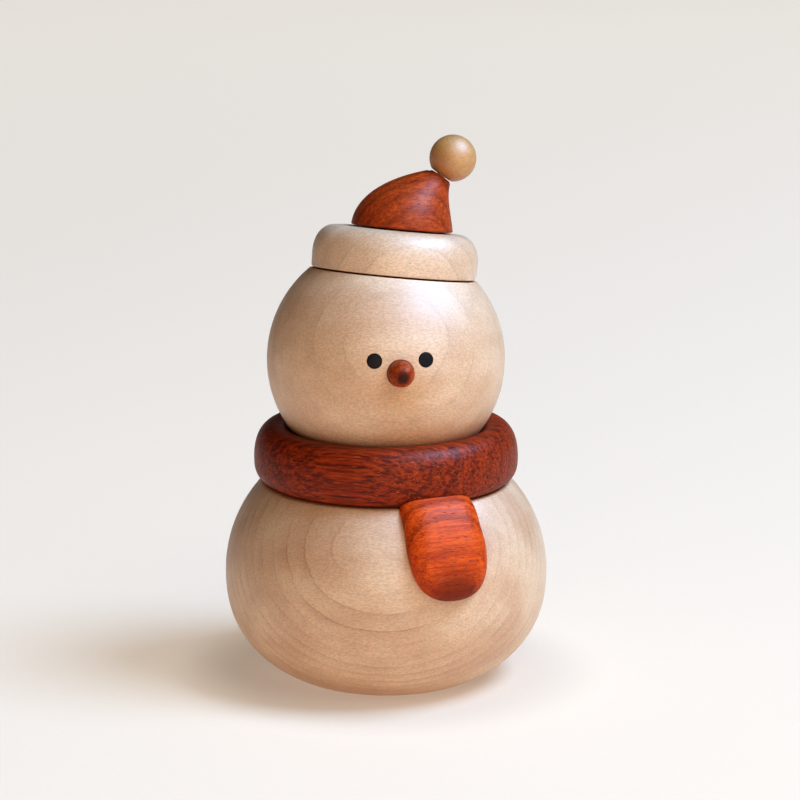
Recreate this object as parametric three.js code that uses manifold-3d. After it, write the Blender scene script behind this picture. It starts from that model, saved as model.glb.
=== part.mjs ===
// A wooden snowman: turned maple balls, a turned padauk scarf that holds the head, and a carved padauk cap.
// Millimetres, +Z up. The face looks along -Y, and the origin is the centre of the flat base.
// An azimuth is measured about +Z from the face's direction towards +X, in degrees.

import * as THREE from "three";
import { mergeVertices } from "three/addons/utils/BufferGeometryUtils.js";
import Module from "manifold-3d";

// Body: a squat turned shape, flat below and flat on top where the scarf sits.
const BODY_RADIUS = 30;
const BODY_WIDEST_Z = 19.8;
const BODY_RISE = 26.9;
const BODY_RISE_POWER = 2;
const BODY_DROP = 22.5;
const BODY_DROP_POWER = 2.33;
const BODY_TOP_Z = 37;

// Scarf ring: a turned disc with a bowed rim, widest below its middle, and dished on top for the head.
const RING_RADIUS = 24.5;
const RING_RIM_WIDTH = 7.8;
const RING_HEIGHT = 10.6;
const RING_WIDEST = 4.2;
const RING_LOWER_POWER = 2.7;
const RING_UPPER_POWER = 2.3;

// Head: a ball with a small flat below and a slanted flat for the hat.
const HEAD_RADIUS = 22;
const HEAD_CENTRE_Z = 59.75;
const HEAD_UNDERSIDE = 20;

// Scarf tail: a tab that follows the body's curve.
const TAIL_AZIMUTH = 16.3;
const TAIL_THICKNESS = 3;
const TAIL_HALF_WIDTH = 7.5;
const TAIL_WIDEST_Z = 31;
const TAIL_TOP_HALF_WIDTH = 7.2;
const TAIL_TOP_Z = 40.1;
const TAIL_SHOULDER_Z = 34;
const TAIL_TOP_POWER = 3.2;
const TAIL_BOTTOM_Z = 21.5;
const TAIL_CORNER_RISE = 3;
const TAIL_CORNER_REACH = 5.4;

// Face.
const EYE_RADIUS = 1.3;
const EYE_AZIMUTH = 12.4;
const EYE_ELEVATION = 10.8;
const EYE_DEPTH = 3;
const NOSE_RADIUS = 2.4;
const NOSE_ELEVATION = 5;
const NOSE_DEPTH = 5;
const NOSE_LENGTH = 3.6;
const NOSE_SHOULDER = 0.4;
const NOSE_POWER = 2.2;

// Hat: it leans back and to one side, square to the slanted flat on the head.
const HAT_LEAN = 9.5;
const HAT_LEAN_AZIMUTH = 140;
const HAT_FLAT = 15.6;
const BRIM_RADIUS = 15.3;
const BRIM_FOOT_RADIUS = 15.2;
const BRIM_HEIGHT = 8;
const BRIM_ROUND_WIDTH = 4;
const BRIM_ROUND_HEIGHT = 5.4;
const BRIM_ROUND_POWER = 2.2;

// Crown: circles that each span from the long side curve to the short one, in the plane where the cap bends.
const CROWN_LONG_SIDE = [-8.6, 0, -8.4, 4.8, -3.6, 9, 5.2, 11.25];
const CROWN_SHORT_SIDE = [10.2, 0, 9.6, 3.5, 8.4, 6.3, 9, 9.1];
const POMPOM_RADIUS = 4.35;
const POMPOM_FLAT = 3.7;

// Dowels.
const NECK_DOWEL_RADIUS = 4;
const NECK_DOWEL_IN_BODY = 12;
const NECK_DOWEL_IN_HEAD = 10;
const HAT_DOWEL_RADIUS = 2;
const HAT_DOWEL_IN_HEAD = 8;
const HAT_DOWEL_IN_CROWN = 5;
const POMPOM_PIN_RADIUS = 0.8;
const POMPOM_PIN_IN_CROWN = 4;
const POMPOM_PIN_IN_BALL = 3;
const TAIL_DOWEL_RADIUS = 1.5;
const TAIL_DOWEL_Z = 31;
const TAIL_DOWEL_IN_BODY = 8;
const TAIL_DOWEL_IN_TAIL = 1.8;

// Fits: a film of glue, the head's running fit on its dowel and in its dish, and the gap under the slanted
// pieces. A cutter stands a margin proud of the face that it cuts into.
const GLUE = 0.1;
const RUNNING = 0.1;
const DISH_GAP = 0.3;
const SEAT_GAP = 0.3;
const CUT_MARGIN = 1;

// Facets.
const TURNED_SIDES = 48;
const SMALL_SIDES = 24;
const CROWN_SIDES = 32;
const CROWN_STEPS = 12;
const ARC_STEPS = 8;

const MAPLE = { color: 0xe3c8a6, roughness: 0.5, metalness: 0 };
const PADAUK_DARK = { color: 0x7a2a18, roughness: 0.45, metalness: 0 };
const PADAUK = { color: 0xb8441c, roughness: 0.45, metalness: 0 };
const EBONY = { color: 0x16141a, roughness: 0.35, metalness: 0 };

const wasm = await Module();
wasm.setup();

const radians = THREE.MathUtils.degToRad;

function mesh(name, geometry, finish) {
  const made = new THREE.Mesh(geometry, new THREE.MeshStandardMaterial(finish));
  made.name = name;
  return made;
}

// Turns a profile of radius and height about +Z.
function turned(profile, sides = TURNED_SIDES) {
  return new THREE.LatheGeometry(profile, sides).rotateX(Math.PI / 2);
}

function rod(radius, from, to) {
  const profile = [
    new THREE.Vector2(0, from),
    new THREE.Vector2(radius, from),
    new THREE.Vector2(radius, to),
    new THREE.Vector2(0, to),
  ];
  return turned(profile, SMALL_SIDES);
}

// Points on a superellipse round (centreRadius, centreZ). Power 2 is an ellipse, and more is squarer.
function bow(centreRadius, centreZ, halfWidth, halfHeight, power, from, to, steps = ARC_STEPS) {
  const points = [];
  for (let i = 0; i <= steps; i += 1) {
    const angle = from + ((to - from) * i) / steps;
    const across = Math.sign(Math.cos(angle)) * Math.abs(Math.cos(angle)) ** (2 / power);
    const up = Math.sign(Math.sin(angle)) * Math.abs(Math.sin(angle)) ** (2 / power);
    points.push(new THREE.Vector2(centreRadius + halfWidth * across, centreZ + halfHeight * up));
  }
  return points;
}

// The angle at which bow() reaches a height above its centre.
function bowAngle(height, halfHeight, power) {
  return Math.asin((height / halfHeight) ** (power / 2));
}

function solidOf(geometry) {
  const bare = geometry.clone();
  bare.deleteAttribute("normal");
  bare.deleteAttribute("uv");
  const merged = mergeVertices(bare);
  const vertProperties = merged.getAttribute("position").array;
  const triVerts = new Uint32Array(merged.index.array);
  return new wasm.Manifold(new wasm.Mesh({ numProp: 3, vertProperties, triVerts }));
}

function geometryOf(solid) {
  const { vertProperties, triVerts } = solid.getMesh();
  const geometry = new THREE.BufferGeometry();
  geometry.setAttribute("position", new THREE.BufferAttribute(vertProperties, 3));
  geometry.setIndex(new THREE.BufferAttribute(triVerts, 1));
  geometry.computeVertexNormals();
  return geometry;
}

function cut(geometry, ...cutters) {
  let solid = solidOf(geometry);
  for (const cutter of cutters) {
    solid = solid.subtract(solidOf(cutter));
  }
  return geometryOf(solid);
}

// The direction at an azimuth and elevation, and the turn that points local +Z along it.
function direction(azimuth, elevation) {
  const a = radians(azimuth);
  const e = radians(elevation);
  return new THREE.Vector3(Math.sin(a) * Math.cos(e), -Math.cos(a) * Math.cos(e), Math.sin(e));
}

function pointing(azimuth, elevation) {
  return new THREE.Quaternion().setFromUnitVectors(new THREE.Vector3(0, 0, 1), direction(azimuth, elevation));
}

// The body's outer skin, grown outwards, from the bottom of its flat base to a height, both on the axis.
function bodySkin(grown, topZ) {
  const drop = BODY_DROP + grown;
  const rise = BODY_RISE + grown;
  const lowest = -bowAngle(BODY_WIDEST_Z, drop, BODY_DROP_POWER);
  const highest = bowAngle(topZ - BODY_WIDEST_Z, rise, BODY_RISE_POWER);
  return [
    new THREE.Vector2(0, 0),
    ...bow(0, BODY_WIDEST_Z, BODY_RADIUS + grown, drop, BODY_DROP_POWER, lowest, 0),
    ...bow(0, BODY_WIDEST_Z, BODY_RADIUS + grown, rise, BODY_RISE_POWER, 0, highest).slice(1),
  ];
}

// Where the tail's dowel crosses the body's surface, and how steeply the surface faces up there.
function tailDowelPlace() {
  const up = (TAIL_DOWEL_Z - BODY_WIDEST_Z) / BODY_RISE;
  const radius = BODY_RADIUS * Math.sqrt(1 - up ** 2);
  const slope = Math.atan2(up / BODY_RISE, radius / BODY_RADIUS ** 2);
  const position = direction(TAIL_AZIMUTH, 0).multiplyScalar(radius).setZ(TAIL_DOWEL_Z);
  return { position, turn: pointing(TAIL_AZIMUTH, THREE.MathUtils.radToDeg(slope)) };
}

function tailDowelHole(from, to) {
  const { position, turn } = tailDowelPlace();
  return rod(TAIL_DOWEL_RADIUS + GLUE, from, to).applyQuaternion(turn).translate(...position);
}

function makeBody() {
  const socket = NECK_DOWEL_RADIUS + GLUE;
  const socketFloor = BODY_TOP_Z - NECK_DOWEL_IN_BODY - GLUE;
  const profile = [
    ...bodySkin(0, BODY_TOP_Z),
    new THREE.Vector2(socket, BODY_TOP_Z),
    new THREE.Vector2(socket, socketFloor),
    new THREE.Vector2(0, socketFloor),
  ];
  return cut(turned(profile), tailDowelHole(-TAIL_DOWEL_IN_BODY - GLUE, TAIL_THICKNESS));
}

// The ring's bowed rim, grown outwards, from the middle of its underside round to the middle of its top.
function ringRim(grown) {
  const halfWidth = RING_RIM_WIDTH / 2;
  const middle = RING_RADIUS - halfWidth;
  const widestZ = BODY_TOP_Z + GLUE + RING_WIDEST;
  const below = RING_WIDEST + grown;
  const above = RING_HEIGHT - RING_WIDEST + grown;
  return [
    ...bow(middle, widestZ, halfWidth + grown, below, RING_LOWER_POWER, -Math.PI / 2, 0),
    ...bow(middle, widestZ, halfWidth + grown, above, RING_UPPER_POWER, 0, Math.PI / 2).slice(1),
  ];
}

// The dish is a part of a ball round the head's centre, between the ring's top and the dish's flat floor.
function makeScarfRing() {
  const bottom = BODY_TOP_Z + GLUE;
  const dishRadius = HEAD_RADIUS + DISH_GAP;
  const floor = HEAD_CENTRE_Z - HEAD_UNDERSIDE - DISH_GAP;
  const lipAngle = -Math.asin((HEAD_CENTRE_Z - bottom - RING_HEIGHT) / dishRadius);
  const floorAngle = -Math.asin((HEAD_CENTRE_Z - floor) / dishRadius);
  const bore = NECK_DOWEL_RADIUS + GLUE;
  const profile = [
    new THREE.Vector2(bore, bottom),
    ...ringRim(0),
    ...bow(0, HEAD_CENTRE_Z, dishRadius, dishRadius, 2, lipAngle, floorAngle),
    new THREE.Vector2(bore, floor),
    new THREE.Vector2(bore, bottom),
  ];
  return turned(profile);
}

// The tail's outline: an arched top, nearly straight sides and a rounded end.
function tailOutline() {
  const side = TAIL_HALF_WIDTH;
  const low = TAIL_BOTTOM_Z;
  const rise = TAIL_TOP_Z - TAIL_SHOULDER_Z;
  const top = bow(0, TAIL_SHOULDER_Z, TAIL_TOP_HALF_WIDTH, rise, TAIL_TOP_POWER, 0, Math.PI, 2 * ARC_STEPS);
  const shape = new THREE.Shape(top);
  shape.lineTo(-side, TAIL_WIDEST_Z);
  shape.bezierCurveTo(-side, low + TAIL_CORNER_RISE, -TAIL_CORNER_REACH, low, 0, low);
  shape.bezierCurveTo(TAIL_CORNER_REACH, low, side, low + TAIL_CORNER_RISE, side, TAIL_WIDEST_Z);
  shape.closePath();
  return shape;
}

// The tail is its outline pushed through a shell that lies on the body, less the ring that it tucks under.
function makeScarfTail() {
  const depth = BODY_RADIUS + 2 * TAIL_THICKNESS;
  const settings = { depth, bevelEnabled: false, curveSegments: ARC_STEPS };
  const prism = new THREE.ExtrudeGeometry(tailOutline(), settings)
    .rotateX(Math.PI / 2)
    .rotateZ(radians(TAIL_AZIMUTH));
  const shell = turned([...bodySkin(TAIL_THICKNESS, TAIL_TOP_Z), new THREE.Vector2(0, TAIL_TOP_Z)]);
  const belowTail = turned([...bodySkin(GLUE, TAIL_TOP_Z), new THREE.Vector2(0, TAIL_TOP_Z)]);
  const ringTop = BODY_TOP_Z + RING_HEIGHT;
  const ring = turned([new THREE.Vector2(0, BODY_TOP_Z), ...ringRim(GLUE), new THREE.Vector2(0, ringTop)]);
  const tail = solidOf(prism)
    .intersect(solidOf(shell))
    .subtract(solidOf(belowTail))
    .subtract(solidOf(ring))
    .subtract(solidOf(tailDowelHole(-TAIL_THICKNESS, TAIL_DOWEL_IN_TAIL + GLUE)));
  return geometryOf(tail);
}

function makeTailDowel() {
  const { position, turn } = tailDowelPlace();
  const dowel = mesh("tail_dowel", rod(TAIL_DOWEL_RADIUS, -TAIL_DOWEL_IN_BODY, TAIL_DOWEL_IN_TAIL), MAPLE);
  dowel.position.copy(position);
  dowel.quaternion.copy(turn);
  return dowel;
}

function makeNeckDowel() {
  const top = HEAD_CENTRE_Z - HEAD_UNDERSIDE + NECK_DOWEL_IN_HEAD;
  return mesh("neck_dowel", rod(NECK_DOWEL_RADIUS, BODY_TOP_Z - NECK_DOWEL_IN_BODY, top), MAPLE);
}

// A plug let into the head: its socket, and the plug itself, share one direction out of the head's centre.
function socket(radius, depth, azimuth, elevation) {
  const hole = rod(radius + GLUE, HEAD_RADIUS - depth - SEAT_GAP, HEAD_RADIUS + CUT_MARGIN);
  return hole.applyQuaternion(pointing(azimuth, elevation));
}

function makeEye(name, azimuth) {
  const eye = mesh(name, rod(EYE_RADIUS, HEAD_RADIUS - EYE_DEPTH, HEAD_RADIUS), EBONY);
  eye.quaternion.copy(pointing(azimuth, EYE_ELEVATION));
  return eye;
}

function makeNose() {
  const shoulder = HEAD_RADIUS + NOSE_SHOULDER;
  const profile = [
    new THREE.Vector2(0, HEAD_RADIUS - NOSE_DEPTH),
    new THREE.Vector2(NOSE_RADIUS, HEAD_RADIUS - NOSE_DEPTH),
    ...bow(0, shoulder, NOSE_RADIUS, NOSE_LENGTH - NOSE_SHOULDER, NOSE_POWER, 0, Math.PI / 2),
  ];
  const nose = mesh("nose", turned(profile, SMALL_SIDES), PADAUK);
  nose.quaternion.copy(pointing(0, NOSE_ELEVATION));
  return nose;
}

// The hat's frame has its origin at the head's centre and +Z along the hat's lean.
function hatTurn() {
  return pointing(HAT_LEAN_AZIMUTH, 90 - HAT_LEAN);
}

function makeHead() {
  const bore = NECK_DOWEL_RADIUS + RUNNING;
  const boreTop = -HEAD_UNDERSIDE + NECK_DOWEL_IN_HEAD + RUNNING;
  const lowest = -Math.asin(HEAD_UNDERSIDE / HEAD_RADIUS);
  const profile = [
    new THREE.Vector2(0, boreTop),
    new THREE.Vector2(bore, boreTop),
    new THREE.Vector2(bore, -HEAD_UNDERSIDE),
    ...bow(0, 0, HEAD_RADIUS, HEAD_RADIUS, 2, lowest, Math.PI / 2, 2 * ARC_STEPS),
  ];
  const offcut = rod(HEAD_RADIUS, HAT_FLAT, HEAD_RADIUS + CUT_MARGIN).applyQuaternion(hatTurn());
  const dowelHole = rod(HAT_DOWEL_RADIUS + GLUE, HAT_FLAT - HAT_DOWEL_IN_HEAD - GLUE, HEAD_RADIUS);
  return cut(
    turned(profile),
    offcut,
    dowelHole.applyQuaternion(hatTurn()),
    socket(EYE_RADIUS, EYE_DEPTH, -EYE_AZIMUTH, EYE_ELEVATION),
    socket(EYE_RADIUS, EYE_DEPTH, EYE_AZIMUTH, EYE_ELEVATION),
    socket(NOSE_RADIUS, NOSE_DEPTH, 0, NOSE_ELEVATION),
  );
}

function makeHatBrim() {
  const bore = HAT_DOWEL_RADIUS + GLUE;
  const roundRadius = BRIM_RADIUS - BRIM_ROUND_WIDTH;
  const roundZ = BRIM_HEIGHT - BRIM_ROUND_HEIGHT;
  const profile = [
    new THREE.Vector2(bore, 0),
    new THREE.Vector2(BRIM_FOOT_RADIUS, 0),
    ...bow(roundRadius, roundZ, BRIM_ROUND_WIDTH, BRIM_ROUND_HEIGHT, BRIM_ROUND_POWER, 0, Math.PI / 2),
    new THREE.Vector2(bore, BRIM_HEIGHT),
    new THREE.Vector2(bore, 0),
  ];
  return turned(profile);
}

// One side curve of the crown from its eight numbers: four points of x and height.
function sideCurve(numbers) {
  const points = [0, 2, 4, 6].map((i) => new THREE.Vector2(numbers[i], numbers[i + 1]));
  return new THREE.CubicBezierCurve(...points);
}

// The crown's top circle: its middle, its radius and how far it leans towards +X.
function crownTip() {
  const long = sideCurve(CROWN_LONG_SIDE).getPoint(1);
  const short = sideCurve(CROWN_SHORT_SIDE).getPoint(1);
  const middle = long.clone().add(short).divideScalar(2);
  return { middle, lean: Math.atan2(long.y - short.y, short.x - long.x) };
}

function crownLoft() {
  const long = sideCurve(CROWN_LONG_SIDE);
  const short = sideCurve(CROWN_SHORT_SIDE);
  const positions = [];
  const index = [];
  for (let k = 0; k <= CROWN_STEPS; k += 1) {
    const a = long.getPoint(k / CROWN_STEPS);
    const b = short.getPoint(k / CROWN_STEPS);
    const radius = a.distanceTo(b) / 2;
    for (let i = 0; i < CROWN_SIDES; i += 1) {
      const turn = (2 * Math.PI * i) / CROWN_SIDES;
      const t = (1 + Math.cos(turn)) / 2;
      positions.push(a.x + (b.x - a.x) * t, radius * Math.sin(turn), a.y + (b.y - a.y) * t);
    }
  }
  const at = (k, i) => k * CROWN_SIDES + (i % CROWN_SIDES);
  for (let k = 0; k < CROWN_STEPS; k += 1) {
    for (let i = 0; i < CROWN_SIDES; i += 1) {
      index.push(at(k, i), at(k, i + 1), at(k + 1, i + 1));
      index.push(at(k, i), at(k + 1, i + 1), at(k + 1, i));
    }
  }
  for (let i = 1; i < CROWN_SIDES - 1; i += 1) {
    index.push(at(0, 0), at(0, i + 1), at(0, i));
    index.push(at(CROWN_STEPS, 0), at(CROWN_STEPS, i), at(CROWN_STEPS, i + 1));
  }
  const geometry = new THREE.BufferGeometry();
  geometry.setAttribute("position", new THREE.Float32BufferAttribute(positions, 3));
  geometry.setIndex(index);
  return geometry;
}

function makeHatCrown() {
  const { middle, lean } = crownTip();
  const pinHole = rod(POMPOM_PIN_RADIUS + GLUE, -POMPOM_PIN_IN_CROWN - GLUE, CUT_MARGIN)
    .rotateY(lean)
    .translate(middle.x, 0, middle.y);
  const dowelHole = rod(HAT_DOWEL_RADIUS + GLUE, -CUT_MARGIN, HAT_DOWEL_IN_CROWN + GLUE);
  return cut(crownLoft(), dowelHole, pinHole);
}

function makePompom() {
  const flatAngle = -Math.asin(POMPOM_FLAT / POMPOM_RADIUS);
  const bore = POMPOM_PIN_RADIUS + GLUE;
  const boreTop = -POMPOM_FLAT + POMPOM_PIN_IN_BALL + GLUE;
  const profile = [
    new THREE.Vector2(0, boreTop),
    new THREE.Vector2(bore, boreTop),
    new THREE.Vector2(bore, -POMPOM_FLAT),
    ...bow(0, 0, POMPOM_RADIUS, POMPOM_RADIUS, 2, flatAngle, Math.PI / 2),
  ];
  return turned(profile, SMALL_SIDES);
}

// The ball and its pin stand on the crown's tip and lean with it.
function addPompom(hat, crownBase) {
  const { middle, lean } = crownTip();
  const tip = new THREE.Group();
  tip.position.set(middle.x, 0, crownBase + middle.y);
  tip.rotation.y = lean;
  const pompom = mesh("pompom", makePompom(), MAPLE);
  pompom.position.z = SEAT_GAP + POMPOM_FLAT;
  const pin = rod(POMPOM_PIN_RADIUS, -POMPOM_PIN_IN_CROWN, SEAT_GAP + POMPOM_PIN_IN_BALL);
  tip.add(pompom, mesh("pompom_pin", pin, MAPLE));
  hat.add(tip);
}

function assembleHat() {
  const brimBase = HAT_FLAT + SEAT_GAP;
  const crownBase = brimBase + BRIM_HEIGHT + SEAT_GAP;
  const hat = new THREE.Group();
  hat.quaternion.copy(hatTurn());
  const brim = mesh("hat_brim", makeHatBrim(), MAPLE);
  brim.position.z = brimBase;
  const crown = mesh("hat_crown", makeHatCrown(), PADAUK);
  crown.position.z = crownBase;
  const dowel = rod(HAT_DOWEL_RADIUS, HAT_FLAT - HAT_DOWEL_IN_HEAD, crownBase + HAT_DOWEL_IN_CROWN);
  hat.add(brim, crown, mesh("hat_dowel", dowel, MAPLE));
  addPompom(hat, crownBase);
  return hat;
}

function assembleHead() {
  const group = new THREE.Group();
  group.position.z = HEAD_CENTRE_Z;
  group.add(mesh("head", makeHead(), MAPLE));
  group.add(makeEye("eye_left", -EYE_AZIMUTH), makeEye("eye_right", EYE_AZIMUTH));
  group.add(makeNose());
  group.add(assembleHat());
  return group;
}

function assemble() {
  const snowman = new THREE.Group();
  snowman.add(mesh("body", makeBody(), MAPLE));
  snowman.add(mesh("scarf_ring", makeScarfRing(), PADAUK_DARK));
  snowman.add(mesh("scarf_tail", makeScarfTail(), PADAUK));
  snowman.add(makeTailDowel(), makeNeckDowel());
  snowman.add(assembleHead());
  return snowman;
}

export default assemble();
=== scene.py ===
"""A wooden snowman of pale maple and red padauk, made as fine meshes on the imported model, and its studio.

Shapes are in millimetres in the row frame, +Z up with the face towards -Y. add_mesh() makes metres of them.
An azimuth is measured about +Z from the face's direction towards +X, in degrees.
"""

import math

import bmesh
import bpy
from mathutils import Matrix, Vector


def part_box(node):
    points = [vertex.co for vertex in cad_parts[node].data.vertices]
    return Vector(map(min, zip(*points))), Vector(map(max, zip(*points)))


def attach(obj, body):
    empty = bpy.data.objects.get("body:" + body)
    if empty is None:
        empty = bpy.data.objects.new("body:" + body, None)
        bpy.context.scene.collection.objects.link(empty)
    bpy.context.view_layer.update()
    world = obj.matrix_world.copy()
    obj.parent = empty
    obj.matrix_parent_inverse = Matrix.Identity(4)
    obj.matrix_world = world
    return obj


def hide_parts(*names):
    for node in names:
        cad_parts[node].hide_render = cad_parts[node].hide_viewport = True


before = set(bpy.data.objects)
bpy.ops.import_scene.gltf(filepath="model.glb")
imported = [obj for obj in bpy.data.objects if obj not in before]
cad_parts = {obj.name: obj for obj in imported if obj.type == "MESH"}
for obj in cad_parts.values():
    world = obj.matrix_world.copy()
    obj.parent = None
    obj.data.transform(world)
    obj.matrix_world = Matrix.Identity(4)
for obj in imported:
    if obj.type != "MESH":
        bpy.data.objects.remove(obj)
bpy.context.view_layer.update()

METRES = 0.001

# Camera, in metres.
CAMERA_AZIMUTH = -7.2
CAMERA_ELEVATION = 12.8
CAMERA_DISTANCE = 0.6
CAMERA_AIM_HEIGHT = 0.0519
CAMERA_AIM_RIGHT = 0.0026
CAMERA_LENS = 145.8

# Body: a squashed superellipse above and below its widest height.
BODY_WIDEST_Z = 19.8
BODY_RISE = 26.9
BODY_RISE_POWER = 2
BODY_DROP = 22.5
BODY_DROP_POWER = 2.33

# Scarf ring and tail.
RING_RIM_WIDTH = 7.8
RING_WIDEST = 4.2
RING_LOWER_POWER = 2.7
RING_UPPER_POWER = 2.3
TAIL_AZIMUTH = 16.3
TAIL_THICKNESS = 3
TAIL_HALF_WIDTH = 7.5
TAIL_WIDEST_Z = 31
TAIL_TOP_HALF_WIDTH = 7.2
TAIL_TOP_Z = 40.1
TAIL_SHOULDER_Z = 34
TAIL_TOP_POWER = 3.2
TAIL_BOTTOM_Z = 21.5
TAIL_CORNER_RISE = 3
TAIL_CORNER_REACH = 5.4
TAIL_FRONT_INSET = 3.4
TAIL_FRONT_FALL = 2.2
TAIL_BACK_ROUND = 0.2
TAIL_DOWEL_Z = 31

# Head and face.
HEAD_UNDERSIDE = 20
EYE_RADIUS = 1.3
EYE_AZIMUTH = 12.4
EYE_ELEVATION = 10.8
EYE_DEPTH = 3
EYE_DOME = 0.08
NOSE_RADIUS = 2.4
NOSE_ELEVATION = 5
NOSE_DEPTH = 5
NOSE_LENGTH = 3.6
NOSE_POWER = 2.2
NOSE_SHOULDER = 0.4

# Hat: everything in it stands square to a slanted flat on the head.
HAT_LEAN = 9.5
HAT_LEAN_AZIMUTH = 140
HAT_FLAT = 15.6
BRIM_RADIUS = 15.3
BRIM_FOOT_RADIUS = 15.2
BRIM_HEIGHT = 8
BRIM_ROUND_WIDTH = 4
BRIM_ROUND_HEIGHT = 5.4
BRIM_ROUND_POWER = 2.2
CROWN_LONG_SIDE = ((-8.6, 0), (-8.4, 4.8), (-3.6, 9), (5.2, 11.25))
CROWN_SHORT_SIDE = ((10.2, 0), (9.6, 3.5), (8.4, 6.3), (9, 9.1))
CROWN_PLAIN_STRETCH = (0.04, 0.97)
CROWN_BASE_FILL = (9.2, 8, 6, 4, 2, 1)
CROWN_TIP_FILL = (0.7, 1.1, 1.5, 1.9)
POMPOM_RADIUS = 4.33
POMPOM_FLAT = 3.7

# Bores for the dowels, as radius and depths.
NECK_BORE = 4.1
NECK_DEPTH_IN_BODY = 12.1
NECK_DEPTH_IN_HEAD = 10.1
HAT_BORE = 2.1
HAT_DEPTH_IN_HEAD = 8.1
HAT_DEPTH_IN_CROWN = 5.1
PIN_BORE = 0.9
PIN_DEPTH_IN_CROWN = 4.1
PIN_DEPTH_IN_BALL = 3.1
TAIL_BORE = 1.6
TAIL_DEPTH_IN_BODY = 8.1
TAIL_DEPTH_IN_TAIL = 1.9

# Fits.
GLUE = 0.1
DISH_GAP = 0.3
SEAT_GAP = 0.3
CUT_MARGIN = 1

# How far from a corner its easing starts.
BODY_EASE = 0.5
RING_EASE = 0.25
RING_LIP_EASE = 1.2
HEAD_EASE = 0.3
EYE_EASE = 0.12
NOSE_EASE = 0.2
BRIM_EASE = 0.3
CROWN_EASE = 0.35
POMPOM_EASE = 0.15

# Fineness of the meshes.
TURNED_SIDES = 192
POMPOM_SIDES = 128
SMALL_SIDES = 64
ARC_STEPS = 24
EASE_STEPS = 6
LONGEST_STEP = 1.0
TAIL_OUTLINE_STEPS = 220
TAIL_FILL_STEPS = 22
CROWN_SIDES = 128
CROWN_STEPS = 64
SHARP_ANGLE = math.radians(40)
WELD = 0.002

# Woods: how many cells of noise a millimetre holds, along and across the fibre.
LAYER_WAVES = (0.03, 0.08)
LAYER_RAGS = (0.5, 1.2)
LAYER_BEND = 120
MAPLE_PATCHES = (0.06, 0.14)
MAPLE_CLOUDS = (0.05, 0.11)
MAPLE_STREAKS = (0.22, 1.8)
MAPLE_STIPPLE = (1.5, 3.8)
MAPLE_FLECKS = (0.55, 2.0)
PADAUK_FIBRES_ACROSS = 5.0
EBONY_STREAKS = (0.4, 5.0)
# Degrees below the nose where the head's warmer tint is centred.
TINT_BELOW_NOSE = 8
# Degrees below the nose's tip where its darker spot is centred.
DARK_SPOT_BELOW_TIP = 1

# Floor: flat this far out, then a sweep. Its glow changes from the near colour to the far one.
FLOOR_REACH = 2300
FLOOR_SWEEP = 350
FLOOR_THICKNESS = 20
FLOOR_SHADES = ("b6a593", "bcab99")
GLOW_COLOURS = ((0.48, 0.415, 0.35, 1.0), (0.63, 0.585, 0.525, 1.0))
GLOW_CHANGES = (150, 1300)

# The glow is weaker under the snowman, a painted contact shadow, and weaker again far out to its left and
# right, so that its sides stay dark. GLOW_SIDES is how far aside the floor is, over how far it is from the
# camera. The glow stays full near the snowman, up to the GLOW_NEAR share of its change, and in front of it.
PAINTED_SHADOW_REACH = (26, 43)
GLOW_IN_PAINTED_SHADOW = 0.64
GLOW_NEAR = 0.1
GLOW_SIDES = (0.14, 0.4)
GLOW_AT_SIDES = 0.26
GLOW_FRONT = (-350, -100)

# Lights: azimuth from the camera's, elevation, distance and size in metres, watts, and colour.
LIGHTS = {
    "window": (80, 55, 1.4, 0.7, 30.5, (0.45, 0.7, 1.1)),
    "sky": (36, 44, 0.9, 0.7, 3.3, (0.8, 0.87, 0.92)),
    "lamp": (0, 12, 0.9, 0.4, 1.4, (1.0, 0.7, 0.46)),
}
WORLD_COLOUR = (1.0, 0.94, 0.88, 1.0)
WORLD_STRENGTH = 0.02
EXPOSURE = -0.15


# Shapes

def superellipse(centre, half_width, half_height, power, start, end, steps=ARC_STEPS):
    """Points (radius, height) on a superellipse between two angles in radians. Power 2 is an ellipse."""
    points = []
    for i in range(steps + 1):
        angle = start + (end - start) * i / steps
        across = math.copysign(abs(math.cos(angle)) ** (2 / power), math.cos(angle))
        up = math.copysign(abs(math.sin(angle)) ** (2 / power), math.sin(angle))
        points.append((centre[0] + half_width * across, centre[1] + half_height * up))
    return points


def superellipse_angle(height, half_height, power):
    """The angle at which superellipse() is at a height above its centre."""
    return math.asin((height / half_height) ** (power / 2))


def weighted(weights, points):
    return tuple(sum(w * p[axis] for w, p in zip(weights, points)) for axis in (0, 1))


def bezier(points, t):
    """A point on the cubic curve with four control points."""
    return weighted(((1 - t) ** 3, 3 * t * (1 - t) ** 2, 3 * t * t * (1 - t), t ** 3), points)


def along_line(line, distance):
    """The point at a distance along a polyline, and the index of the vertex after it."""
    for i in range(1, len(line)):
        step = math.dist(line[i - 1], line[i])
        if distance <= step and step > 0:
            t = distance / step
            return tuple(a + (b - a) * t for a, b in zip(line[i - 1], line[i])), i
        distance -= step
    return line[-1], len(line) - 1


def eased(parts, radius):
    """Joins polylines end to end and rounds each corner where two of them meet."""
    out = list(parts[0])
    for part in parts[1:]:
        corner = out[-1]
        before, cut_before = along_line(out[::-1], radius)
        after, cut_after = along_line(part, radius)
        out = out[: len(out) - cut_before]
        for i in range(EASE_STEPS + 1):
            t = i / EASE_STEPS
            out.append(weighted(((1 - t) ** 2, 2 * t * (1 - t), t * t), (before, corner, after)))
        out += part[cut_after:]
    return out


def divided(profile, closed):
    """The profile with points added, so that no step in it is longer than LONGEST_STEP."""
    ends = profile[1:] + profile[:1] if closed else profile[1:]
    out = []
    for a, b in zip(profile, ends):
        count = max(1, math.ceil(math.dist(a, b) / LONGEST_STEP))
        out += [(a[0] + (b[0] - a[0]) * i / count, a[1] + (b[1] - a[1]) * i / count) for i in range(count)]
    return out if closed else out + [profile[-1]]


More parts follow.
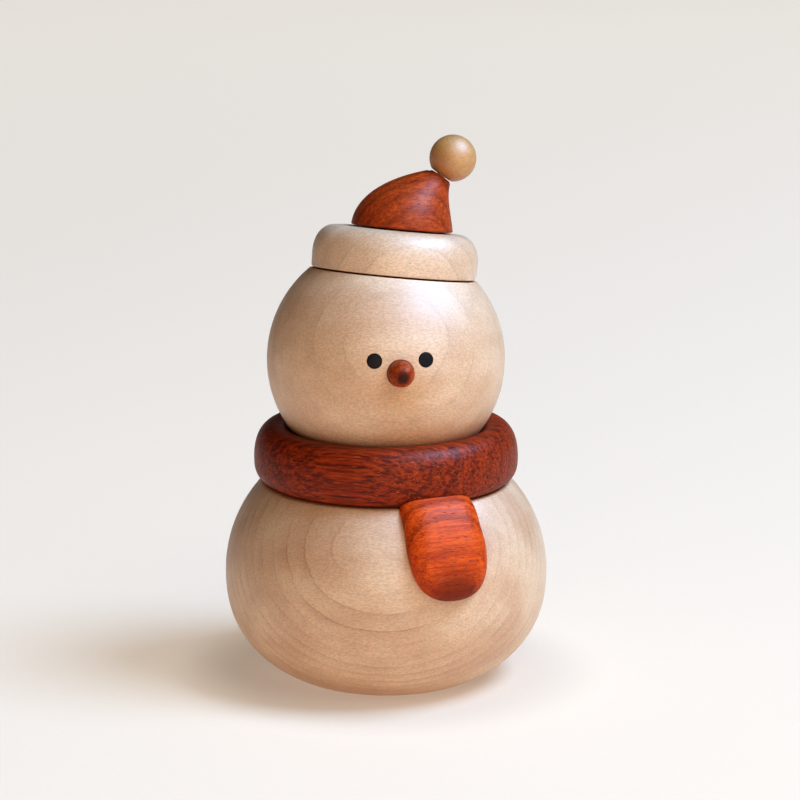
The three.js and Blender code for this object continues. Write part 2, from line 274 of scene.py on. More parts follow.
def add_mesh(name, points, faces, place):
    """A smooth mesh object from points in millimetres, moved by place, with its faces pointing out."""
    mesh = bpy.data.meshes.new(name)
    mesh.from_pydata([(place @ Vector(p)) * METRES for p in points], [], faces)
    shape = bmesh.new()
    shape.from_mesh(mesh)
    bmesh.ops.recalc_face_normals(shape, faces=shape.faces)
    if shape.calc_volume(signed=True) < 0:
        bmesh.ops.reverse_faces(shape, faces=shape.faces)
    shape.to_mesh(mesh)
    shape.free()
    mesh.polygons.foreach_set("use_smooth", [True] * len(mesh.polygons))
    piece = bpy.data.objects.new(name, mesh)
    bpy.context.scene.collection.objects.link(piece)
    return piece


def turned(name, profile, place=Matrix.Identity(4), sides=TURNED_SIDES, fine=True):
    """Turns a profile of (radius, height) about +Z. It starts and ends on the axis, or closes on itself."""
    closed = profile[0][0] > 0
    rows = []
    points = []
    for radius, height in divided(profile, closed) if fine else profile:
        count = sides if radius > 0 else 1
        rows.append([len(points) + i % count for i in range(sides + 1)])
        for i in range(count):
            angle = 2 * math.pi * i / sides
            points.append((radius * math.cos(angle), radius * math.sin(angle), height))
    faces = []
    for a, b in zip(rows, rows[1:] + rows[:1] if closed else rows[1:]):
        for i in range(sides):
            corners = dict.fromkeys((a[i], a[i + 1], b[i + 1], b[i]))
            faces.append(tuple(corners))
    return add_mesh(name, points, faces, place)


def rod(radius, start, end, place):
    """A plain cylinder to cut holes with."""
    profile = [(0, start), (radius, start), (radius, end), (0, end)]
    return turned("cutter", profile, place, SMALL_SIDES, False)


def cut(piece, *cutters):
    """Takes each cutter's shape out of the piece, and removes the cutter."""
    for cutter in cutters:
        boolean = piece.modifiers.new("cut", "BOOLEAN")
        boolean.operation = "DIFFERENCE"
        boolean.solver = "EXACT"
        boolean.object = cutter
        shown = piece.evaluated_get(bpy.context.evaluated_depsgraph_get())
        whole = piece.data
        piece.data = bpy.data.meshes.new_from_object(shown)
        piece.modifiers.clear()
        piece.data.name = piece.name
        bpy.data.meshes.remove(whole)
        bpy.data.meshes.remove(cutter.data)
    shape = bmesh.new()
    shape.from_mesh(piece.data)
    bmesh.ops.remove_doubles(shape, verts=shape.verts, dist=WELD * METRES)
    shape.to_mesh(piece.data)
    shape.free()
    piece.data.set_sharp_from_angle(angle=SHARP_ANGLE)
    return piece


def direction(azimuth, elevation):
    """The unit vector towards an azimuth and an elevation in degrees."""
    a = math.radians(azimuth)
    e = math.radians(elevation)
    return Vector((math.sin(a) * math.cos(e), -math.cos(a) * math.cos(e), math.sin(e)))


def pointing(azimuth, elevation):
    """The turn that brings local +Z to a direction."""
    return Vector((0, 0, 1)).rotation_difference(direction(azimuth, elevation)).to_matrix().to_4x4()


# Places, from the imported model's boxes

def box(node):
    """A node's lowest and highest corners, in millimetres."""
    low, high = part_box(node)
    return low / METRES, high / METRES


BODY_RADIUS = box("body")[1].x
BODY_TOP = box("body")[1].z
RING_LOW = box("scarf_ring")[0].z
RING_TOP = box("scarf_ring")[1].z
RING_RADIUS = box("scarf_ring")[1].x
HEAD_RADIUS = box("head")[1].x
HEAD_CENTRE = Vector((0, 0, box("head")[0].z + HEAD_UNDERSIDE))
TO_HEAD = Matrix.Translation(HEAD_CENTRE)
TO_HAT = TO_HEAD @ pointing(HAT_LEAN_AZIMUTH, 90 - HAT_LEAN)
BRIM_BASE = HAT_FLAT + SEAT_GAP
CROWN_BASE = BRIM_BASE + BRIM_HEIGHT + SEAT_GAP


def body_skin_radius(height, grown):
    """The radius of the upper part of the body's skin, grown outwards, at a height."""
    up = (height - BODY_WIDEST_Z) / (BODY_RISE + grown)
    return (BODY_RADIUS + grown) * math.sqrt(1 - up * up)


def tail_dowel_place():
    up = (TAIL_DOWEL_Z - BODY_WIDEST_Z) / BODY_RISE
    radius = body_skin_radius(TAIL_DOWEL_Z, 0)
    slope = math.degrees(math.atan2(up / BODY_RISE, radius / BODY_RADIUS ** 2))
    position = direction(TAIL_AZIMUTH, 0) * radius + Vector((0, 0, TAIL_DOWEL_Z))
    return Matrix.Translation(position) @ pointing(TAIL_AZIMUTH, slope)


def make_body():
    centre = (0, BODY_WIDEST_Z)
    lowest = -superellipse_angle(BODY_WIDEST_Z, BODY_DROP, BODY_DROP_POWER)
    highest = superellipse_angle(BODY_TOP - BODY_WIDEST_Z, BODY_RISE, BODY_RISE_POWER)
    below = superellipse(centre, BODY_RADIUS, BODY_DROP, BODY_DROP_POWER, lowest, 0, 2 * ARC_STEPS)
    above = superellipse(centre, BODY_RADIUS, BODY_RISE, BODY_RISE_POWER, 0, highest, 2 * ARC_STEPS)
    floor = BODY_TOP - NECK_DEPTH_IN_BODY
    profile = eased([
        [(0, 0), below[0]],
        below + above[1:],
        [above[-1], (NECK_BORE, BODY_TOP)],
        [(NECK_BORE, BODY_TOP), (NECK_BORE, floor)],
        [(NECK_BORE, floor), (0, floor)],
    ], BODY_EASE)
    hole = rod(TAIL_BORE, -TAIL_DEPTH_IN_BODY, TAIL_THICKNESS, tail_dowel_place())
    return cut(turned("snowman_body", profile), hole)


def ring_rim(grown):
    """The ring's bowed rim, grown outwards, from the middle of its underside to the middle of its top."""
    centre = (RING_RADIUS - RING_RIM_WIDTH / 2, RING_LOW + RING_WIDEST)
    out = RING_RIM_WIDTH / 2 + grown
    above = RING_TOP - centre[1] + grown
    below = RING_WIDEST + grown
    lower = superellipse(centre, out, below, RING_LOWER_POWER, -math.pi / 2, 0, 2 * ARC_STEPS)
    upper = superellipse(centre, out, above, RING_UPPER_POWER, 0, math.pi / 2, 2 * ARC_STEPS)
    return lower + upper[1:]


def make_scarf_ring():
    dish = HEAD_RADIUS + DISH_GAP
    floor = HEAD_CENTRE.z - HEAD_UNDERSIDE - DISH_GAP
    lip = -math.asin((HEAD_CENTRE.z - RING_TOP) / dish)
    floor_angle = -math.asin((HEAD_CENTRE.z - floor) / dish)
    bowl = superellipse((0, HEAD_CENTRE.z), dish, dish, 2, lip, floor_angle)
    outside = eased([ring_rim(0) + [bowl[0]], bowl], RING_LIP_EASE)
    profile = eased([
        [(NECK_BORE, RING_LOW), outside[0]],
        outside + [(NECK_BORE, floor)],
        [(NECK_BORE, floor), (NECK_BORE, RING_LOW)],
    ], RING_EASE)
    return turned("scarf_ring_turned", profile[:-1])


def tail_outline():
    """The tail's outline as (x, height) at even steps, from its right shoulder over the top and round."""
    side = TAIL_HALF_WIDTH
    foot = TAIL_BOTTOM_Z
    shoulders = (0, TAIL_SHOULDER_Z)
    rise = TAIL_TOP_Z - TAIL_SHOULDER_Z
    top = superellipse(shoulders, TAIL_TOP_HALF_WIDTH, rise, TAIL_TOP_POWER, 0, math.pi, 4 * ARC_STEPS)
    bend = (-side, foot + TAIL_CORNER_RISE)
    corner = ((-side, TAIL_WIDEST_Z), bend, (-TAIL_CORNER_REACH, foot), (0, foot))
    end = [bezier(corner, i / ARC_STEPS) for i in range(ARC_STEPS + 1)]
    loop = top + end + [(-x, z) for x, z in reversed(end[:-1])] + top[:1]
    length = sum(math.dist(a, b) for a, b in zip(loop, loop[1:]))
    return [along_line(loop, length * i / TAIL_OUTLINE_STEPS)[0] for i in range(TAIL_OUTLINE_STEPS)]


def tail_section():
    """Steps over the tail from the middle of its front to the middle of its back.

    Each is how far in from the outline it is, how high over the body, and how far shrunk to the middle.
    """
    quarter = [math.pi / 2 * i / ARC_STEPS for i in range(ARC_STEPS + 1)]
    front = [(TAIL_FRONT_INSET, TAIL_THICKNESS, i / TAIL_FILL_STEPS) for i in range(1, TAIL_FILL_STEPS)]
    over = [
        (TAIL_FRONT_INSET * (1 - math.sin(a)), TAIL_THICKNESS - TAIL_FRONT_FALL * (1 - math.cos(a)), 1)
        for a in quarter
    ]
    under = [
        (TAIL_BACK_ROUND * (1 - math.cos(a)), GLUE + TAIL_BACK_ROUND * (1 - math.sin(a)), 1)
        for a in quarter[::4]
    ]
    back = [(TAIL_BACK_ROUND, GLUE, i / TAIL_FILL_STEPS) for i in range(TAIL_FILL_STEPS - 1, 0, -1)]
    return front + over + under + back


def make_scarf_tail():
    outline = tail_outline()
    middle = (0, (TAIL_BOTTOM_Z + RING_LOW) / 2)
    turn = Matrix.Rotation(math.radians(TAIL_AZIMUTH), 4, "Z")
    count = len(outline)

    def placed(x, z, grown):
        return (x, -math.sqrt(body_skin_radius(z, grown) ** 2 - x * x), z)

    points = [placed(*middle, TAIL_THICKNESS)]
    for inset, grown, share in tail_section():
        for i, (x, z) in enumerate(outline):
            before = outline[i - 1]
            after = outline[(i + 1) % count]
            tangent = Vector((after[0] - before[0], after[1] - before[1])).normalized()
            x = x - tangent.y * inset
            z = z + tangent.x * inset
            points.append(placed(x * share, middle[1] + (z - middle[1]) * share, grown))
    points.append(placed(*middle, GLUE))
    faces = []
    for i in range(count):
        after = (i + 1) % count
        faces.append((0, 1 + i, 1 + after))
        for row in range(1, len(points) - 1 - count, count):
            faces.append((row + i, row + after, row + count + after, row + count + i))
        last = len(points) - 1 - count
        faces.append((last + i, last + after, last + count))
    tail = add_mesh("scarf_tail_carved", points, faces, turn)
    profile = [(0, RING_LOW - GLUE)] + ring_rim(GLUE) + [(0, RING_TOP + GLUE)]
    hole = rod(TAIL_BORE, -TAIL_THICKNESS, TAIL_DEPTH_IN_TAIL, tail_dowel_place())
    return cut(tail, turned("cutter", profile), hole)


def make_head():
    bore_top = NECK_DEPTH_IN_HEAD - HEAD_UNDERSIDE
    lowest = -math.asin(HEAD_UNDERSIDE / HEAD_RADIUS)
    ball = superellipse((0, 0), HEAD_RADIUS, HEAD_RADIUS, 2, lowest, math.pi / 2, 5 * ARC_STEPS)
    profile = eased([
        [(0, bore_top), (NECK_BORE, bore_top)],
        [(NECK_BORE, bore_top), (NECK_BORE, -HEAD_UNDERSIDE)],
        [(NECK_BORE, -HEAD_UNDERSIDE), ball[0]],
        ball[:-1] + [(0, HEAD_RADIUS)],
    ], HEAD_EASE)
    head = turned("snowman_head", profile, TO_HEAD)
    above = HEAD_RADIUS + CUT_MARGIN

    def socket(radius, depth, azimuth, elevation):
        floor = HEAD_RADIUS - depth - SEAT_GAP
        return rod(radius + GLUE, floor, above, TO_HEAD @ pointing(azimuth, elevation))

    return cut(
        head,
        rod(HEAD_RADIUS, HAT_FLAT, above, TO_HAT),
        rod(HAT_BORE, HAT_FLAT - HAT_DEPTH_IN_HEAD, HEAD_RADIUS, TO_HAT),
        socket(EYE_RADIUS, EYE_DEPTH, -EYE_AZIMUTH, EYE_ELEVATION),
        socket(EYE_RADIUS, EYE_DEPTH, EYE_AZIMUTH, EYE_ELEVATION),
        socket(NOSE_RADIUS, NOSE_DEPTH, 0, NOSE_ELEVATION),
    )


def make_eye(name, azimuth):
    """A plug whose end is dressed to a slight dome, flush with the head."""
    foot = HEAD_RADIUS - EYE_DEPTH
    edge = HEAD_RADIUS - EYE_DOME / 2
    shares = [1 - i / EASE_STEPS for i in range(EASE_STEPS + 1)]
    dome = [(EYE_RADIUS * share, edge + EYE_DOME * (1 - share ** 2)) for share in shares]
    profile = eased([
        [(0, foot), (EYE_RADIUS, foot)],
        [(EYE_RADIUS, foot), dome[0]],
        dome,
    ], EYE_EASE)
    return turned(name, profile, TO_HEAD @ pointing(azimuth, EYE_ELEVATION), SMALL_SIDES)


def make_nose():
    foot = HEAD_RADIUS - NOSE_DEPTH
    shoulder = HEAD_RADIUS + NOSE_SHOULDER
    length = NOSE_LENGTH - NOSE_SHOULDER
    tip = superellipse((0, shoulder), NOSE_RADIUS, length, NOSE_POWER, 0, math.pi / 2)
    profile = eased([
        [(0, foot), (NOSE_RADIUS, foot)],
        [(NOSE_RADIUS, foot)] + tip[:-1] + [(0, HEAD_RADIUS + NOSE_LENGTH)],
    ], NOSE_EASE)
    return turned("nose_carved", profile, TO_HEAD @ pointing(0, NOSE_ELEVATION), SMALL_SIDES)


def make_hat_brim():
    width = BRIM_ROUND_WIDTH
    height = BRIM_ROUND_HEIGHT
    centre = (BRIM_RADIUS - width, BRIM_HEIGHT - height)
    over = superellipse(centre, width, height, BRIM_ROUND_POWER, 0, math.pi / 2, 2 * ARC_STEPS)
    profile = eased([
        [(HAT_BORE, 0), (BRIM_FOOT_RADIUS, 0)],
        [(BRIM_FOOT_RADIUS, 0)] + over + [(HAT_BORE, BRIM_HEIGHT)],
        [(HAT_BORE, BRIM_HEIGHT), (HAT_BORE, 0)],
    ], BRIM_EASE)
    return turned("hat_brim_turned", profile[:-1], TO_HAT @ Matrix.Translation((0, 0, BRIM_BASE)))


def crown_tip():
    """The middle of the crown's top circle, and the turn that tips it."""
    long_end, short_end = CROWN_LONG_SIDE[-1], CROWN_SHORT_SIDE[-1]
    middle = Vector((long_end[0] + short_end[0], 0, long_end[1] + short_end[1])) / 2
    lean = math.atan2(long_end[1] - short_end[1], short_end[0] - long_end[0])
    return Matrix.Translation(middle) @ Matrix.Rotation(lean, 4, "Y")


def crown_circle(t, inset=0.0, rise=0.0):
    """A circle that spans the crown's two side curves, drawn in by inset and lifted along itself by rise."""
    a = Vector(bezier(CROWN_LONG_SIDE, t))
    b = Vector(bezier(CROWN_SHORT_SIDE, t))
    middle = (a + b) / 2
    across = (b - a).normalized()
    lift = Vector((-across.y, across.x)) * rise
    radius = (b - a).length / 2 - inset
    points = []
    for i in range(CROWN_SIDES):
        angle = 2 * math.pi * i / CROWN_SIDES
        flat = middle + lift + across * radius * math.cos(angle)
        points.append((flat.x, radius * math.sin(angle), flat.y))
    return points


def make_hat_crown():
    """A loft of circles from the base to the tip, with both edges eased and both ends filled."""
    ease = CROWN_EASE
    first, last = CROWN_PLAIN_STRETCH
    quarter = [math.pi / 2 * i / EASE_STEPS for i in range(EASE_STEPS + 1)]
    base = [crown_circle(0, ease * (1 - math.sin(a)), ease * (1 - math.cos(a))) for a in quarter[:-1]]
    sides = [crown_circle(first + (last - first) * k / CROWN_STEPS) for k in range(CROWN_STEPS + 1)]
    tip = [crown_circle(1, ease * (1 - math.cos(a)), -ease * (1 - math.sin(a))) for a in quarter[1:]]
    base_fill = [crown_circle(0, inset) for inset in CROWN_BASE_FILL]
    tip_fill = [crown_circle(1, inset) for inset in CROWN_TIP_FILL]
    rows = base_fill + base + sides + tip + tip_fill
    points = [point for row in rows for point in row]
    faces = [tuple(range(CROWN_SIDES)), tuple(range(len(points) - CROWN_SIDES, len(points)))]
    for row in range(len(rows) - 1):
        for i in range(CROWN_SIDES):
            after = (i + 1) % CROWN_SIDES
            low = row * CROWN_SIDES
            faces.append((low + i, low + after, low + CROWN_SIDES + after, low + CROWN_SIDES + i))
    place = TO_HAT @ Matrix.Translation((0, 0, CROWN_BASE))
    crown = add_mesh("hat_crown_carved", points, faces, place)
    return cut(
        crown,
        rod(HAT_BORE, -CUT_MARGIN, HAT_DEPTH_IN_CROWN, place),
        rod(PIN_BORE, -PIN_DEPTH_IN_CROWN, CUT_MARGIN, place @ crown_tip()),
    )


def make_pompom():
    flat_angle = -math.asin(POMPOM_FLAT / POMPOM_RADIUS)
    bore_top = PIN_DEPTH_IN_BALL - POMPOM_FLAT
    ball = superellipse((0, 0), POMPOM_RADIUS, POMPOM_RADIUS, 2, flat_angle, math.pi / 2, 2 * ARC_STEPS)
    profile = eased([
        [(0, bore_top), (PIN_BORE, bore_top)],
        [(PIN_BORE, bore_top), (PIN_BORE, -POMPOM_FLAT)],
        [(PIN_BORE, -POMPOM_FLAT), ball[0]],
        ball[:-1] + [(0, POMPOM_RADIUS)],
    ], POMPOM_EASE)
    tip = TO_HAT @ Matrix.Translation((0, 0, CROWN_BASE)) @ crown_tip()
    place = tip @ Matrix.Translation((0, 0, SEAT_GAP + POMPOM_FLAT))
    return turned("pompom_ball", profile, place, POMPOM_SIDES)


# Materials

def linear(code):
    """A colour such as "e3c8a6", as Blender's linear values."""
    values = [int(code[i : i + 2], 16) / 255 for i in (0, 2, 4)]
    return tuple(v / 12.92 if v <= 0.04045 else ((v + 0.055) / 1.055) ** 2.4 for v in values) + (1.0,)


class Nodes:
    """A material's node tree, with short calls for the nodes that the woods share."""

    def __init__(self, name):
        self.material = bpy.data.materials.new(name)
        self.material.use_nodes = True
        self.tree = self.material.node_tree
        self.shader = self.tree.nodes["Principled BSDF"]

    def feed(self, target, value):
        if isinstance(value, bpy.types.NodeSocket):
            self.tree.links.new(value, target)
        else:
            target.default_value = value

    def math(self, operation, a, b=0.0, c=0.0):
        node = self.tree.nodes.new("ShaderNodeMath")
        node.operation = operation
        for target, value in zip(node.inputs, (a, b, c)):
            self.feed(target, value)
        return node.outputs[0]

    def position(self):
        """Where a point is on the piece, in millimetres."""
        place = self.tree.nodes.new("ShaderNodeTexCoord")
        node = self.tree.nodes.new("ShaderNodeVectorMath")
        node.operation = "SCALE"
        self.feed(node.inputs["Vector"], place.outputs["Object"])
        node.inputs["Scale"].default_value = 1 / METRES
        return node.outputs[0]

    def dot(self, point, axis):
        node = self.tree.nodes.new("ShaderNodeVectorMath")
        node.operation = "DOT_PRODUCT"
        self.feed(node.inputs[0], point)
        node.inputs[1].default_value = axis
        return node.outputs["Value"]

    def distance(self, point, centre):
        node = self.tree.nodes.new("ShaderNodeVectorMath")
        node.operation = "DISTANCE"
        self.feed(node.inputs[0], point)
        node.inputs[1].default_value = centre
        return node.outputs["Value"]

    def stretched(self, grain, along, across):
        """The grain's coordinates, with this many cells for each millimetre along and across the fibre."""
        node = self.tree.nodes.new("ShaderNodeCombineXYZ")
        for target, value, scale in zip(node.inputs, grain, (along, across, across)):
            self.feed(target, self.math("MULTIPLY", value, scale))
        return node.outputs[0]

    def noise(self, point, detail=2.0, roughness=0.5):
        node = self.tree.nodes.new("ShaderNodeTexNoise")
        self.feed(node.inputs["Vector"], point)
        node.inputs["Scale"].default_value = 1.0
        node.inputs["Detail"].default_value = detail
        node.inputs["Roughness"].default_value = roughness
        return node.outputs[0]

    def cells(self, point):
        """How far the nearest of a scatter of points is, and a random number for that point."""
        node = self.tree.nodes.new("ShaderNodeTexVoronoi")
        self.feed(node.inputs["Vector"], point)
        node.inputs["Scale"].default_value = 1.0
        split = self.tree.nodes.new("ShaderNodeSeparateColor")
        self.feed(split.inputs[0], node.outputs["Color"])
        return node.outputs["Distance"], split.outputs[0]

    def random(self, value):
        node = self.tree.nodes.new("ShaderNodeTexWhiteNoise")
        node.noise_dimensions = "1D"
        self.feed(node.inputs["W"], value)
        return node.outputs["Value"]

    def ramp(self, value, low, high, start=0.0, end=1.0):
        """A smooth step from start to end as value goes from low to high."""
        node = self.tree.nodes.new("ShaderNodeMapRange")
        node.interpolation_type = "SMOOTHSTEP"
        for target, number in zip(node.inputs, (value, low, high, start, end)):
            self.feed(target, number)
        return node.outputs[0]

    def mix(self, factor, a, b):
        node = self.tree.nodes.new("ShaderNodeMix")
        node.data_type = "RGBA"
        self.feed(node.inputs[0], factor)
        self.feed(node.inputs[6], a)
        self.feed(node.inputs[7], b)
        return node.outputs[2]

    def brighten(self, colour, factor):
        node = self.tree.nodes.new("ShaderNodeVectorMath")
        node.operation = "SCALE"
        self.feed(node.inputs["Vector"], colour)
        self.feed(node.inputs["Scale"], factor)
        return node.outputs[0]

    def spot_strength(self, tinted_spot):
        """How strong a tinted spot is: full up to 0.3 of its reach, and fading from there."""
        centre, reach, tint, amount = tinted_spot
        return self.ramp(self.distance(self.position(), centre), reach * 0.3, reach, amount, 0)

    def bump(self, height, depth):
        """Depth is in millimetres."""
        node = self.tree.nodes.new("ShaderNodeBump")
        node.inputs["Distance"].default_value = depth * METRES
        self.feed(node.inputs["Height"], height)
        self.tree.links.new(node.outputs[0], self.shader.inputs["Normal"])


class Grain:
    """How a piece was cut from its board: where its fibre runs, and where its growth layers are stacked.

    The first dark line lies `first` millimetres below the piece's highest point along the growth direction,
    and the next ones are `spacing` apart. The layers curve round a centre that is LAYER_BEND away.
    """

    def __init__(self, piece, azimuth, elevation, first, spacing):
        self.growth = direction(azimuth, elevation)
        self.fibre = Vector((0, 0, 1)).cross(self.growth).normalized()
        self.across = self.growth.cross(self.fibre)
        self.highest = max(vertex.co.dot(self.growth) for vertex in piece.data.vertices) / METRES
        self.first = first
        self.spacing = spacing

    def coordinates(self, nodes):
        point = nodes.position()
        return tuple(nodes.dot(point, axis) for axis in (self.fibre, self.across, self.growth))

    def layers(self, nodes, coordinates, waviness, raggedness):
        """Counts growth layers inwards: a whole number at each dark line."""
        along, across, height = coordinates
        bow = nodes.math("DIVIDE", nodes.math("MULTIPLY", across, across), 2 * LAYER_BEND)
        depth = nodes.math("SUBTRACT", self.highest - self.first, nodes.math("SUBTRACT", height, bow))
        wave = nodes.noise(nodes.stretched(coordinates, *LAYER_WAVES), 2.0)
        rag = nodes.noise(nodes.stretched(coordinates, *LAYER_RAGS), 3.0, 0.6)
        depth = nodes.math("ADD", depth, nodes.math("MULTIPLY_ADD", wave, 2 * waviness, -waviness))
        depth = nodes.math("ADD", depth, nodes.math("MULTIPLY_ADD", rag, 2 * raggedness, -raggedness))
        return nodes.math("DIVIDE", depth, self.spacing)


def maple(name, grain, light, deep, line, line_strength, tinted_spot=None):
    """Pale maple: soft brown growth lines, broad warm clouds, a sandy stipple of fibre ends, a few flecks.

    A tinted spot is where it is, how far it reaches, its colour and its strength.
    """
    nodes = Nodes(name)
    coordinates = grain.coordinates(nodes)
    layers = grain.layers(nodes, coordinates, 0.9, 0.2)
    part = nodes.math("FRACT", layers)
    strength = nodes.ramp(nodes.random(nodes.math("FLOOR", layers)), 0, 1, 0.3, 1)
    fine = nodes.ramp(part, 0.0, 0.14, 1, 0)
    broad = nodes.ramp(part, 0.0, 0.7, 0.42, 0)
    lead = nodes.ramp(part, 0.95, 1.0, 0, 1)
    drawn = nodes.math("MAXIMUM", nodes.math("MAXIMUM", fine, broad), lead)
    patches = nodes.noise(nodes.stretched(coordinates, *MAPLE_PATCHES), 2.0)
    patch = nodes.math("MULTIPLY", nodes.ramp(patches, 0.35, 0.65, 0.15, 1), line_strength)
    drawn = nodes.math("MULTIPLY", nodes.math("MULTIPLY", drawn, strength), patch)

    clouds = nodes.noise(nodes.stretched(coordinates, *MAPLE_CLOUDS), 3.0, 0.55)
    colour = nodes.mix(nodes.ramp(clouds, 0.32, 0.68), linear(light), linear(deep))
    colour = nodes.mix(drawn, colour, linear(line))
    streaks = nodes.noise(nodes.stretched(coordinates, *MAPLE_STREAKS), 4.0, 0.6)
    stipple = nodes.ramp(nodes.noise(nodes.stretched(coordinates, *MAPLE_STIPPLE), 2.0, 0.75), 0.34, 0.66)
    shade = nodes.math("MULTIPLY_ADD", streaks, 0.2, 0.9)
    shade = nodes.math("MULTIPLY", shade, nodes.math("MULTIPLY_ADD", stipple, 0.28, 0.86))
    near, pick = nodes.cells(nodes.stretched(coordinates, *MAPLE_FLECKS))
    fleck = nodes.math("MULTIPLY", nodes.ramp(near, 0.08, 0.2, 1, 0), nodes.ramp(pick, 0.86, 0.9))
    colour = nodes.mix(nodes.math("MULTIPLY", fleck, 0.45), colour, linear(line))
    if tinted_spot:
        cloudy = nodes.ramp(clouds, 0.3, 0.6, 0.4, 1)
        colour = nodes.mix(nodes.math("MULTIPLY", nodes.spot_strength(tinted_spot), cloudy), colour, linear(tinted_spot[2]))
    nodes.feed(nodes.shader.inputs["Base Color"], nodes.brighten(colour, shade))
    nodes.feed(nodes.shader.inputs["Roughness"], nodes.math("MULTIPLY_ADD", stipple, 0.1, 0.5))
    nodes.shader.inputs["Specular IOR Level"].default_value = 0.6
    nodes.shader.inputs["Coat Weight"].default_value = 1.0
    nodes.shader.inputs["Coat Roughness"].default_value = 0.57
    nodes.shader.inputs["Coat IOR"].default_value = 1.8
    height = nodes.math("ADD", nodes.math("MULTIPLY", stipple, 0.35), nodes.math("MULTIPLY", streaks, 0.5))
    nodes.bump(nodes.math("SUBTRACT", height, nodes.math("MULTIPLY", drawn, 0.3)), 0.05)
    return nodes.material


def padauk(name, grain, bright, mid, dark, pore, streak, pore_size, pore_strength, band_strength,
           tinted_spot=None, fibre=0.9):
    """Red padauk: dark bands at its growth layers, long streaks, and open pores that run along the fibre.

    The streaks' and the pores' sizes, and `fibre` for the fibres' length, are in cells to a millimetre.
    """
    nodes = Nodes(name)
    coordinates = grain.coordinates(nodes)
    layers = grain.layers(nodes, coordinates, 0.6, 0.3)
    part = nodes.math("FRACT", layers)
    strength = nodes.ramp(nodes.random(nodes.math("FLOOR", layers)), 0, 1, 0.25, 1)
    band = nodes.math("MAXIMUM", nodes.ramp(part, 0.0, 0.5, 1, 0), nodes.ramp(part, 0.85, 1.0, 0, 1))
    band = nodes.math("MULTIPLY", nodes.math("MULTIPLY", band, strength), band_strength)

    streaks = nodes.noise(nodes.stretched(coordinates, *streak), 5.0, 0.62)
    fibres = nodes.noise(nodes.stretched(coordinates, fibre, PADAUK_FIBRES_ACROSS), 3.0, 0.65)
    colour = nodes.mix(nodes.ramp(streaks, 0.32, 0.68), linear(mid), linear(bright))
    colour = nodes.mix(band, colour, linear(dark))
    near, pick = nodes.cells(nodes.stretched(coordinates, *pore_size))
    open_pore = nodes.math("MULTIPLY", nodes.ramp(near, 0.14, 0.34, 1, 0), nodes.ramp(pick, 0.3, 0.6))
    colour = nodes.mix(nodes.math("MULTIPLY", open_pore, pore_strength), colour, linear(pore))
    # A tinted spot: on the tail it is partly painted shade, and on the nose it is a darker tip.
    if tinted_spot:
        colour = nodes.mix(nodes.spot_strength(tinted_spot), colour, linear(tinted_spot[2]))
    shade = nodes.math("MULTIPLY_ADD", nodes.ramp(fibres, 0.3, 0.7), 0.36, 0.8)
    nodes.feed(nodes.shader.inputs["Base Color"], nodes.brighten(colour, shade))
    nodes.feed(nodes.shader.inputs["Roughness"], nodes.math("MULTIPLY_ADD", fibres, 0.22, 0.34))
    nodes.shader.inputs["Specular IOR Level"].default_value = 0.22
    height = nodes.math("MULTIPLY", nodes.math("SUBTRACT", fibres, open_pore), 0.6)
    nodes.bump(height, 0.06)
    return nodes.material


def ebony(name, grain):
    """Black, close-grained wood with faint brown streaks and a cool shine."""
    nodes = Nodes(name)
    coordinates = grain.coordinates(nodes)
    streaks = nodes.noise(nodes.stretched(coordinates, *EBONY_STREAKS), 4.0, 0.6)
    colour = nodes.mix(nodes.ramp(streaks, 0.35, 0.7), linear("0c0a0e"), linear("1c1416"))
    nodes.feed(nodes.shader.inputs["Base Color"], colour)
    nodes.feed(nodes.shader.inputs["Roughness"], nodes.math("MULTIPLY_ADD", streaks, 0.2, 0.36))
    nodes.shader.inputs["Specular IOR Level"].default_value = 0.3
    nodes.bump(streaks, 0.02)
    return nodes.material


def dress(piece, material):
    piece.data.materials.clear()
    piece.data.materials.append(material)


def stands_for(piece, node, body):
    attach(piece, body)
    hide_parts(node)


